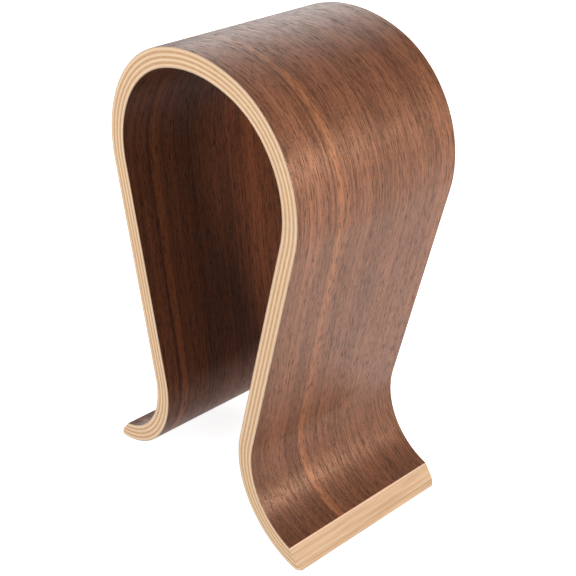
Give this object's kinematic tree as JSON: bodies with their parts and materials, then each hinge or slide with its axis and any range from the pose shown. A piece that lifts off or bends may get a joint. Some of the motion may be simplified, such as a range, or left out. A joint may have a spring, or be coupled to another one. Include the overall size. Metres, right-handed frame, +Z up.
{
  "type": "headphone stand",
  "caption": "Omega-shaped headphone stand in bent laminated wood: rounded crown, legs narrowing to a waist and curling out into feet, dark walnut faces over a striped pale core.",
  "frame": {"origin": "on the resting surface, midway between the feet and midway along the depth of the strip", "axes": "+Z up from the feet to the crown, +X across the legs towards one foot, Y along the depth of the strip"},
  "size_m": [0.1484, 0.1, 0.245],
  "materials": {
    "walnut_veneer": "satin lacquer, dark brown with open pores, grain along the strip",
    "light_core": "pale birch ply, edges sanded smooth",
    "tan_core": "tan cross-grain ply, edges sanded smooth"
  },
  "bodies": {
    "root": {"outer_walnut_veneer": "walnut_veneer", "core_ply_1": "light_core", "core_ply_2": "tan_core", "core_ply_3": "light_core", "core_ply_4": "tan_core", "core_ply_5": "light_core", "core_ply_6": "tan_core", "core_ply_7": "light_core", "inner_walnut_veneer": "walnut_veneer"}
  },
  "joints": []
}
